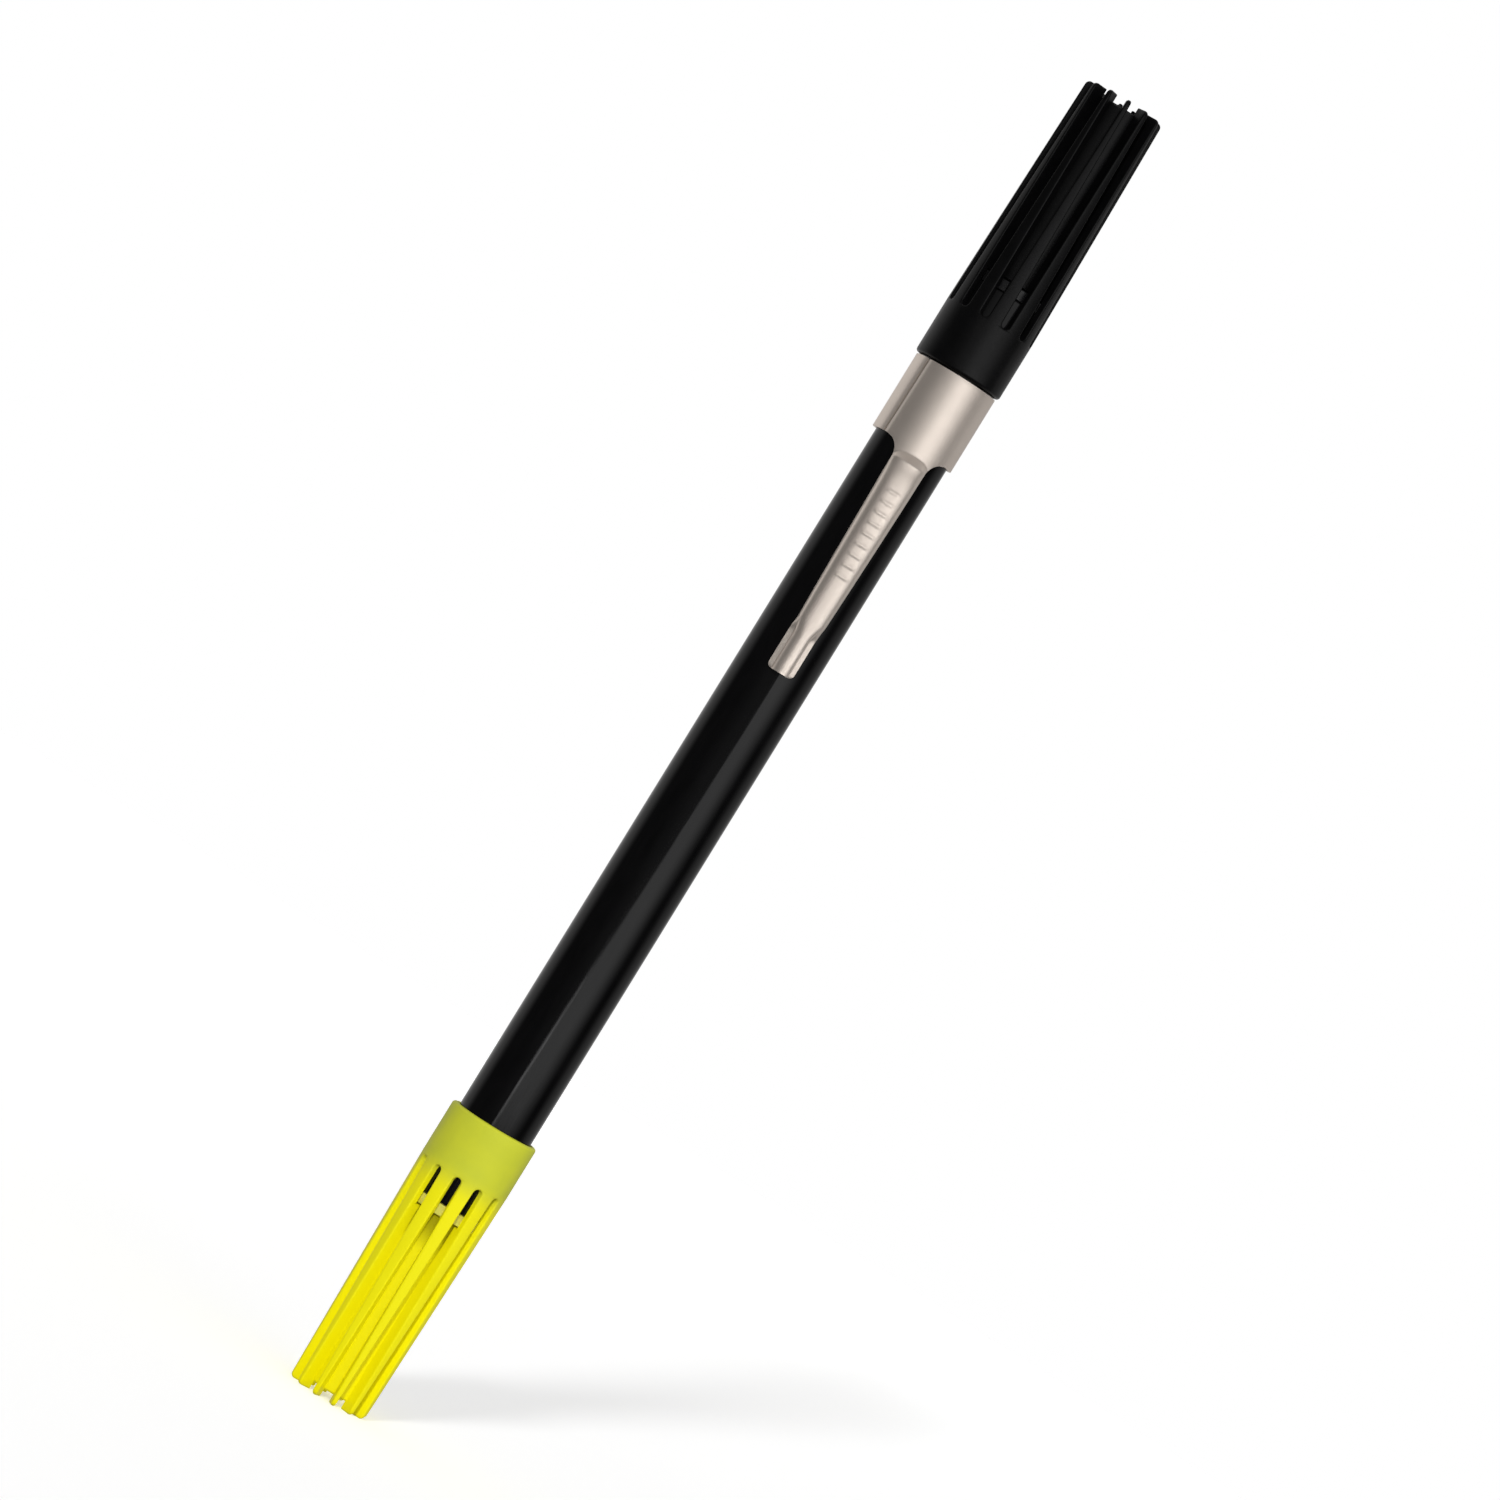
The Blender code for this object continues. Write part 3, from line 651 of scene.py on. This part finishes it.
def make_clip(mat):
    """The whole clip as one sheet: split band, neck, arm and foot."""
    across = 44
    us = [math.sin(math.pi / 2 * (-1 + 2 * i / across)) * 0.35 + 0.65 * (-1 + 2 * i / across) for i in range(across + 1)]
    front = [fillet_s(BAND_LOW) * u / BAND_R for u in us]
    seam = math.radians(SEAM_DEG)
    gap = SEAM_HALF_GAP / BAND_R
    left = list(np.linspace(seam + gap, front[0], 10)[:-1])
    right = list(np.linspace(front[-1], seam - gap + 2 * math.pi, 112)[1:])
    angles = left + front + right
    first = len(left)
    bm = bmesh.new()

    def vert(x, y, z):
        return bm.verts.new((x * MM, y * MM, z * MM))

    band_rows = []
    for z in list(np.linspace(BAND_TOP, BAND_LOW, 19)):
        row = []
        t = (z - BAND_LOW) / BAND_H
        for a in angles:
            # the split leans a little, and its two edges are turned in slightly
            near_seam = min(abs(a - (seam + gap)), abs(a - (seam - gap + 2 * math.pi))) * BAND_R
            lean = math.radians(2.2) * (t - 0.5) * smooth(1 - near_seam / 3.0)
            r = BAND_R - 0.06 * smooth(1 - near_seam / 0.55)
            row.append(vert(r * math.sin(a + lean), -r * math.cos(a + lean), z))
        band_rows.append(row)
    for a, b in zip(band_rows, band_rows[1:]):
        for i in range(len(a) - 1):
            bm.faces.new((a[i], b[i], b[i + 1], a[i + 1]))
    zs = [BAND_LOW - NECK_FILLET * math.sin(a) for a in np.linspace(0, math.pi / 2, 15)[1:]]
    zs = sorted(set(zs + list(np.linspace(FILLET_Z + 1.15, FILLET_Z + 0.02, 12))), reverse=True)
    zs = [z for i, z in enumerate(zs) if i == 0 or zs[i - 1] - z > 0.03]
    z = FILLET_Z - 0.08
    while z > 95.2:
        zs.append(z)
        z -= 0.115 if 99.6 < z < 111.6 else 0.25
    while z > ARM_END + 0.6:
        zs.append(z)
        z -= 0.12
    zs += [ARM_END + 0.55 * (1 - math.sin(a)) for a in np.linspace(0.0, math.pi / 2, 10)]
    above = band_rows[-1][first : first + across + 1]
    for z in zs:
        row = []
        for u in us:
            x, y = clip_point(u, z)
            row.append(vert(x, y, z))
        for i in range(across):
            bm.faces.new((above[i], row[i], row[i + 1], above[i + 1]))
        above = row
    bmesh.ops.recalc_face_normals(bm, faces=bm.faces)
    probe = next(f for f in bm.faces if f.calc_center_median().length > 0)
    c = probe.calc_center_median()
    if probe.normal.dot(Vector((c.x, c.y, 0))) < 0:
        bmesh.ops.reverse_faces(bm, faces=bm.faces)
    obj = add("clip_sheet", bm, mat, 180)
    solid = obj.modifiers.new("sheet", "SOLIDIFY")
    solid.thickness = SHEET * MM
    solid.offset = -1.0
    solid.use_even_offset = False
    bevel = obj.modifiers.new("deburred edges", "BEVEL")
    bevel.width = 0.07 * MM
    bevel.segments = 3
    bevel.limit_method = "ANGLE"
    bevel.angle_limit = math.radians(50)
    clip = evaluated(obj, "spring_clip")
    clip.data.shade_smooth()
    clip.data.set_sharp_from_angle(angle=math.radians(60))
    return clip


# ------------------------------------------------------------------ build
M_BARREL = barrel_material()
M_BLACK = cap_black_material()
M_YELLOW = cap_yellow_material()
M_NICKEL = nickel_material()
M_FERRULE = nickel_material("ferrule_nickel_plate", (0.80, 0.77, 0.72), (0.16, 0.26), 1.0)
# painted shade and painted yellow light: the milky natural plastic is tinted darker and yellow, as it sits in shade
# inside the yellow cap
M_NATURAL_SHADED_YELLOW = plastic_material("holder_milky_natural_painted_shade", (0.47, 0.45, 0.075), (0.56, 0.53, 0.115), sss=0.15)
M_HOLDER_BLACK = plastic_material("holder_moulded_black", (0.0032, 0.0032, 0.0035), (0.0060, 0.0058, 0.0062), (0.34, 0.48))
M_TUBING = plastic_material("breather_natural", (0.80, 0.80, 0.77), (0.88, 0.88, 0.86))
M_EPOXY = plastic_material("glue_amber", (0.28, 0.15, 0.04), (0.42, 0.25, 0.08), (0.12, 0.25))
M_FELT = fibre_material("felt_pressed_white", (0.70, 0.69, 0.63), (0.90, 0.89, 0.84), along=0.55, scale=6500)
M_FIBRE = fibre_material("reservoir_polyester", (0.74, 0.74, 0.72), (0.92, 0.92, 0.90), along=0.08)
M_FILM = film_material()
M_HAIR = hair_material()


def dress(node, mat):
    nodes[node].data.materials.clear()
    nodes[node].data.materials.append(mat)


for node, mat in (
    ("wick", M_FELT),
    ("reservoir_core", M_FIBRE),
    ("reservoir_film", M_FILM),
    ("breather_tube", M_TUBING),
    ("reservoir_stop", M_NATURAL_SHADED_YELLOW),
    ("bristle_glue_plug", M_EPOXY),
):
    dress(node, mat)

BORE_R = 3.50
barrel = lathe(
    "barrel_tube",
    [
        (BORE_R, BARREL_LOW),
        (BARREL_R, BARREL_LOW),
        (BARREL_R, lerp(BARREL_LOW, BARREL_HIGH, 0.25)),
        (BARREL_R, lerp(BARREL_LOW, BARREL_HIGH, 0.5)),
        (BARREL_R, lerp(BARREL_LOW, BARREL_HIGH, 0.75)),
        (BARREL_R, BARREL_HIGH),
        (BORE_R, BARREL_HIGH),
    ],
    M_BARREL,
    steps=192,
    radius=0.16,
)
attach(barrel, "barrel")
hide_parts("barrel")

form = cap_form()
yellow = place_cap(form, "yellow_vented_cap", M_YELLOW, Y_HIGH, YELLOW_TURN, True, "yellow_cap")
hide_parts("yellow_cap")
black = place_cap(form, "black_vented_cap", M_BLACK, K_LOW, BLACK_TURN, False, "black_cap")
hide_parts("black_cap")
bpy.data.objects.remove(form)

clip = make_clip(M_NICKEL)
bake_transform(clip)
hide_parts("clip_band", "clip_arm")


# the working ends, seen when a cap is off
def nose(neck_end, socket_r, socket_end):
    low = BARREL_LOW - 1.3
    return [
        (3.90, BARREL_LOW - 0.10),
        (3.90, low),
        (2.50, low),
        (2.50, 20.7),
        (2.56, 20.25),
        (2.56, 19.75),
        (2.50, 19.3),
        (2.50, neck_end + 2.2),
        (2.20, neck_end),
        (socket_r, neck_end),
        (socket_r, socket_end),
    ]


PLUG_R = BORE_R - 0.05
tip_holder = lathe(
    "felt_tip_holder",
    [(PLUG_R, BARREL_LOW - 0.10)]
    + nose(13.5, 1.85, 17.5)
    + [(0.98, 17.5), (0.98, 28.8), (3.12, 28.8), (3.12, 33.2), (PLUG_R, 33.2)],
    M_NATURAL_SHADED_YELLOW,
    steps=96,
    radius=0.10,
)
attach(tip_holder, "barrel")
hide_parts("tip_holder")

middle = BARREL_LOW + BARREL_HIGH
brush_nose = [(PLUG_R, BARREL_LOW - 0.10)] + nose(15.2, 2.02, 20.6) + [(0.0, 20.6)]
brush_profile = [(r, middle - z) for r, z in brush_nose][::-1]
brush_profile += [(PLUG_R, 126.6), (2.55, 126.6), (2.55, 134.4), (0.0, 134.9)]
brush_holder = lathe("brush_holder_nose", brush_profile, M_HOLDER_BLACK, steps=96, closed=False, radius=0.10)
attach(brush_holder, "barrel")
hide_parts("brush_holder")


def felt_pad():
    points = [(0.0, 7.2)]
    for i in range(1, 15):
        a = i / 14 * math.pi / 2
        points.append((1.76 * math.sin(a) ** 0.85, 9.5 - 2.3 * math.cos(a)))
    points += [(1.78, z) for z in np.linspace(9.9, 17.0, 24)]
    points += [(1.70, 17.2), (0.95, 17.2), (0.95, 14.8), (0.0, 14.8)]
    pad = lathe("felt_pad", points, M_FELT, steps=96, closed=False, radius=0.0, smooth_deg=60)
    rng = np.random.default_rng(7)
    for v in pad.data.vertices:
        r = math.hypot(v.co.x, v.co.y)
        if r > 1e-5 and v.co.z < 16.9 * MM and not (r < 1.0 * MM and v.co.z > 14 * MM):
            v.co.x *= 1 - 0.018 * rng.random()
            v.co.y *= 1 - 0.018 * rng.random()
    return pad


pad = felt_pad()
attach(pad, "barrel")
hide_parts("cleaning_pad")

crimp = 145.2
ferrule = lathe(
    "brush_ferrule_tube",
    [
        (1.95, 137.7),
        (1.95, crimp - 0.9),
        (1.80, crimp - 0.25),
        (1.80, crimp + 0.25),
        (1.95, crimp + 0.9),
        (1.95, 147.6),
        (1.76, 147.6),
        (1.76, crimp + 0.85),
        (1.62, crimp + 0.2),
        (1.62, crimp - 0.2),
        (1.76, crimp - 0.85),
        (1.76, 137.7),
    ],
    M_FERRULE,
    steps=96,
    radius=0.07,
)
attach(ferrule, "barrel")
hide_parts("brush_ferrule")


def bristles(count=560):
    """The tuft as single tapered hairs, spreading a little above the ferrule and meeting in a dome."""
    rng = random.Random(11)
    bm = bmesh.new()
    sides, steps = 4, 7
    for i in range(count):
        rr = math.sqrt((i + 0.5) / count)
        a = i * 2.399963 + rng.uniform(-0.2, 0.2)
        base_r, waist_r = 1.60 * rr, 1.47 * rr
        top = 154.85 - 1.9 * rr**2.4 - rng.uniform(0, 0.35)
        belly = (2.06 * rr) * rng.uniform(0.93, 1.0)
        end_r = (1.62 * rr) * rng.uniform(0.75, 1.0)
        sway = rng.uniform(-0.12, 0.12)
        rings = []
        for k in range(steps + 1):
            t = k / steps
            z = lerp(139.8, top, t**0.8)
            if z < crimp:
                r = lerp(base_r, waist_r, smooth((z - 140) / (crimp - 140)))
            elif z < 150.8:
                r = lerp(waist_r, belly, smooth((z - crimp) / (150.8 - crimp)))
            else:
                r = lerp(belly, end_r, smooth((z - 150.8) / max(0.2, top - 150.8)))
            aa = a + sway * max(0.0, (z - 147) / 8)
            thick = 0.055 * (1 - 0.75 * smooth((t - 0.55) / 0.45))
            cx, cy = r * math.cos(aa), r * math.sin(aa)
            ring = []
            for q in range(sides):
                b = 2 * math.pi * q / sides
                ring.append(bm.verts.new(((cx + thick * math.cos(b)) * MM, (cy + thick * math.sin(b)) * MM, z * MM)))
            rings.append(ring)
        for a_, b_ in zip(rings, rings[1:]):
            for q in range(sides):
                p = (q + 1) % sides
                bm.faces.new((a_[q], a_[p], b_[p], b_[q]))
        bm.faces.new(rings[0][::-1])
        bm.faces.new(rings[-1])
    return add("brush_hairs", bm, M_HAIR, 80)


hairs = bristles()
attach(hairs, "barrel")
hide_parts("brush_tuft")

# ------------------------------------------------------------------ camera
scene = bpy.context.scene
turn = math.radians(CAMERA_TURN)
roll = math.radians(31.643)
side = Vector((math.cos(turn), math.sin(turn), 0))
ahead = Vector((-math.sin(turn), math.cos(turn), 0))
up = Vector((0, 0, 1))
cam_right = side * math.cos(roll) + up * math.sin(roll)
cam_up = -side * math.sin(roll) + up * math.cos(roll)
DISTANCE = 0.70
cam = bpy.data.cameras.new("camera")
cam_obj = bpy.data.objects.new("camera", cam)
scene.collection.objects.link(cam_obj)
cam.sensor_width = 36.0
cam.lens = 36.0 * DISTANCE / 0.15585
cam.clip_start, cam.clip_end = 0.01, 50
place = up * 0.0803 + side * 0.00212 - ahead * DISTANCE
basis = Matrix((cam_right, cam_up, -ahead)).transposed().to_4x4()
cam_obj.matrix_world = Matrix.Translation(place) @ basis
scene.camera = cam_obj

# ------------------------------------------------------------------ floor, backdrop and lights
scene.view_settings.view_transform = "Standard"
scene.view_settings.look = "None"

WORLD = bpy.data.worlds.new("studio")
scene.world = WORLD
WORLD.use_nodes = True
wt = WORLD.node_tree
wt.nodes.clear()
w_out = wt.nodes.new("ShaderNodeOutputWorld")
w_seen = wt.nodes.new("ShaderNodeBackground")
w_seen.inputs["Color"].default_value = (1, 1, 1, 1)
w_seen.inputs["Strength"].default_value = 1.0
w_light = wt.nodes.new("ShaderNodeBackground")
w_mix = wt.nodes.new("ShaderNodeMixShader")
w_path = wt.nodes.new("ShaderNodeLightPath")
w_coord = wt.nodes.new("ShaderNodeTexCoord")
w_split = wt.nodes.new("ShaderNodeSeparateXYZ")
wt.links.new(w_coord.outputs["Generated"], w_split.inputs[0])
# soft light comes evenly from above; what the gloss mirrors is dim in front and brighter behind
w_top = wt.nodes.new("ShaderNodeMapRange")
w_top.interpolation_type = "SMOOTHSTEP"
wt.links.new(w_split.outputs["Z"], w_top.inputs["Value"])
for key, value in (("From Min", 0.35), ("From Max", 0.9), ("To Min", 0.0), ("To Max", 0.17)):
    w_top.inputs[key].default_value = value
w_dot = wt.nodes.new("ShaderNodeVectorMath")
w_dot.operation = "DOT_PRODUCT"
w_dot.inputs[1].default_value = ahead
wt.links.new(w_coord.outputs["Generated"], w_dot.inputs[0])
w_back = wt.nodes.new("ShaderNodeMapRange")
w_back.interpolation_type = "SMOOTHSTEP"
wt.links.new(w_dot.outputs["Value"], w_back.inputs["Value"])
for key, value in (("From Min", -0.05), ("From Max", 0.40), ("To Min", 0.06), ("To Max", 0.60)):
    w_back.inputs[key].default_value = value
w_sum = wt.nodes.new("ShaderNodeMath")
w_sum.operation = "ADD"
wt.links.new(w_top.outputs["Result"], w_sum.inputs[0])
w_side = wt.nodes.new("ShaderNodeVectorMath")
w_side.operation = "DOT_PRODUCT"
w_side.inputs[1].default_value = side
wt.links.new(w_coord.outputs["Generated"], w_side.inputs[0])
w_right = wt.nodes.new("ShaderNodeMapRange")
w_right.interpolation_type = "SMOOTHSTEP"
wt.links.new(w_side.outputs["Value"], w_right.inputs["Value"])
for key, value in (("From Min", 0.0), ("From Max", 0.6), ("To Min", 1.0), ("To Max", 0.60)):
    w_right.inputs[key].default_value = value
w_both = wt.nodes.new("ShaderNodeMath")
w_both.operation = "MULTIPLY"
wt.links.new(w_back.outputs["Result"], w_both.inputs[0])
wt.links.new(w_right.outputs["Result"], w_both.inputs[1])
wt.links.new(w_both.outputs[0], w_sum.inputs[1])
w_soft = wt.nodes.new("ShaderNodeBackground")
w_soft.inputs["Color"].default_value = (1.0, 0.995, 0.985, 1)
w_soft.inputs["Strength"].default_value = 0.36
wt.links.new(w_sum.outputs[0], w_light.inputs["Strength"])
w_light.inputs["Color"].default_value = (1.0, 0.99, 0.985, 1)
w_kind = wt.nodes.new("ShaderNodeMixShader")
wt.links.new(w_path.outputs["Is Glossy Ray"], w_kind.inputs["Fac"])
wt.links.new(w_soft.outputs[0], w_kind.inputs[1])
wt.links.new(w_light.outputs[0], w_kind.inputs[2])
wt.links.new(w_path.outputs["Is Camera Ray"], w_mix.inputs["Fac"])
wt.links.new(w_kind.outputs[0], w_mix.inputs[1])
wt.links.new(w_seen.outputs[0], w_mix.inputs[2])
wt.links.new(w_mix.outputs[0], w_out.inputs["Surface"])


# the floor's own glow fills up what the lights leave uneven, so that it reads as one white sweep
GLOW = (0.3030, 0.4005, -0.6617, -0.3171, 1.453, -0.159)


def floor():
    bm = bmesh.new()
    rings = [0.0, 0.02, 0.06, 0.12, 0.2, 0.3, 0.42, 0.55, 0.75]
    steps = 96
    centre = bm.verts.new((0, 0, 0))
    before = None
    for r in rings[1:]:
        ring = [bm.verts.new((r * math.cos(2 * math.pi * i / steps), r * math.sin(2 * math.pi * i / steps), 0)) for i in range(steps)]
        for i in range(steps):
            j = (i + 1) % steps
            if before is None:
                bm.faces.new((centre, ring[i], ring[j]))
            else:
                bm.faces.new((before[i], ring[i], ring[j], before[j]))
        before = ring
    n = Nodes("floor_white")
    n.set("Base Color", n.mix(n.noise(18, 2, 0.5), (0.86, 0.86, 0.86), (0.88, 0.88, 0.88)))
    n.set("Roughness", 0.9)
    n.bsdf.inputs["Specular IOR Level"].default_value = 0.1
    n.bsdf.inputs["Emission Color"].default_value = (1, 1, 1, 1)
    along, across = (n.new("ShaderNodeVectorMath", operation="DOT_PRODUCT") for _ in range(2))
    for node, direction in ((along, ahead), (across, side)):
        n.link(n.coords, node.inputs[0])
        node.inputs[1].default_value = direction
    a, r = along.outputs["Value"], across.outputs["Value"]
    terms = (None, a, r, n.math("MULTIPLY", a, a), n.math("MULTIPLY", a, r), n.math("MULTIPLY", r, r))
    total = n.math("MULTIPLY", a, 0.0)
    for factor, term in zip(GLOW, terms):
        total = n.math("ADD", total, factor if term is None else n.math("MULTIPLY", term, factor))
    total = n.math("MINIMUM", n.math("MAXIMUM", total, 0.20), 0.452)
    # far out only the even lights are left
    reach = n.new("ShaderNodeVectorMath", operation="LENGTH")
    n.link(n.coords, reach.inputs[0])
    far = n.map_range(reach.outputs["Value"], 0.34, 0.50, 0.0, 1.0)
    total = n.math("ADD", n.math("MULTIPLY", total, n.math("SUBTRACT", 1.0, far)), n.math("MULTIPLY", far, 0.456))
    n.link(total, n.bsdf.inputs["Emission Strength"])
    return add("studio_floor", bm, n.mat)


ground = floor()
ground.visible_glossy = False
ground.visible_diffuse = False


def softbox():
    """A tall curved diffuser at the front right, sharp along its left side and fading out to the right."""
    radius = 0.42
    bm = bmesh.new()
    layer = bm.loops.layers.float_color.new("glow")
    psis = np.linspace(-50, 92, 285)
    heights = list(np.linspace(0.004, 0.13, 64)) + list(np.linspace(0.14, 0.34, 12))
    grid = []
    for z in heights:
        row = []
        for psi in psis:
            a = turn + math.radians(psi)
            row.append(bm.verts.new((radius * math.sin(a), -radius * math.cos(a), z)))
        grid.append(row)

    def glow(psi, z):
        zz = z * 1000
        left = float(np.interp(zz, (0, 15.8, 31.8, 57.4, 81.4, 112, 134), (-10.0, -6.5, -1.5, 10.6, 15.6, 16.0, 4.0)))
        level = float(np.interp(zz, (0, 80, 92, 102, 122, 138, 160, 210, 260), (1.62, 1.60, 1.68, 2.25, 2.20, 1.25, 1.12, 0.85, 0.70)))
        box = smooth((psi - left) / 1.6) * (1 - smooth((psi - 34) / 48))
        strip = smooth((psi - left) / 1.0) * (1 - smooth((psi - left - 4.7) / 1.4)) * (1 - smooth((zz - 22) / 16))
        spill = smooth((psi + 46) / 46) * (1 - smooth((psi - left) / 1.6))
        return level * box + 2.8 * strip + lerp(0.14, 0.42, smooth((zz - 118) / 20)) * spill

    for j in range(len(heights) - 1):
        for i in range(len(psis) - 1):
            face = bm.faces.new((grid[j][i], grid[j][i + 1], grid[j + 1][i + 1], grid[j + 1][i]))
            for loop, (jj, ii) in zip(face.loops, ((j, i), (j, i + 1), (j + 1, i + 1), (j + 1, i))):
                g = glow(psis[ii], heights[jj])
                loop[layer] = (g, g, g, 1.0)
    mesh = bpy.data.meshes.new("softbox")
    bm.to_mesh(mesh)
    bm.free()
    mat = bpy.data.materials.new("softbox_glow")
    mat.use_nodes = True
    tree = mat.node_tree
    tree.nodes.clear()
    out = tree.nodes.new("ShaderNodeOutputMaterial")
    emit = tree.nodes.new("ShaderNodeEmission")
    clear = tree.nodes.new("ShaderNodeBsdfTransparent")
    both = tree.nodes.new("ShaderNodeAddShader")
    glow_in = tree.nodes.new("ShaderNodeAttribute")
    glow_in.attribute_name = "glow"
    tree.links.new(glow_in.outputs["Color"], emit.inputs["Color"])
    tree.links.new(emit.outputs[0], both.inputs[0])
    tree.links.new(clear.outputs[0], both.inputs[1])
    tree.links.new(both.outputs[0], out.inputs["Surface"])
    mesh.materials.append(mat)
    obj = bpy.data.objects.new("softbox", mesh)
    scene.collection.objects.link(obj)
    obj.visible_camera = False
    obj.visible_shadow = False
    return obj


box_light = softbox()


def lamp(name, kind, psi, elevation, distance, energy, size=0.3, color=(1, 1, 1), glossy=True):
    data = bpy.data.lights.new(name, kind)
    data.energy = energy
    data.color = color
    if kind == "AREA":
        data.shape = "RECTANGLE"
        data.size = size
        data.size_y = size
    else:
        data.angle = size
    obj = bpy.data.objects.new(name, data)
    scene.collection.objects.link(obj)
    a, e = turn + math.radians(psi), math.radians(elevation)
    back = Vector((math.sin(a) * math.cos(e), -math.cos(a) * math.cos(e), math.sin(e)))
    obj.location = Vector((0, 0, 0.08)) + back * distance
    obj.rotation_mode = "QUATERNION"
    obj.rotation_quaternion = (-back).to_track_quat("-Z", "Y")
    obj.visible_glossy = glossy
    return obj


lamp("front_sun", "SUN", -10.6, 18, 2.0, 2.2, size=0.06, glossy=False)
fill = lamp("right_fill", "AREA", 78, 12, 0.6, 1.3, size=0.4, glossy=False)
fill.data.use_shadow = False
behind = lamp("back_fill", "SUN", 180, 5, 2.0, 2.4, size=0.3, glossy=False)
behind.data.use_shadow = False
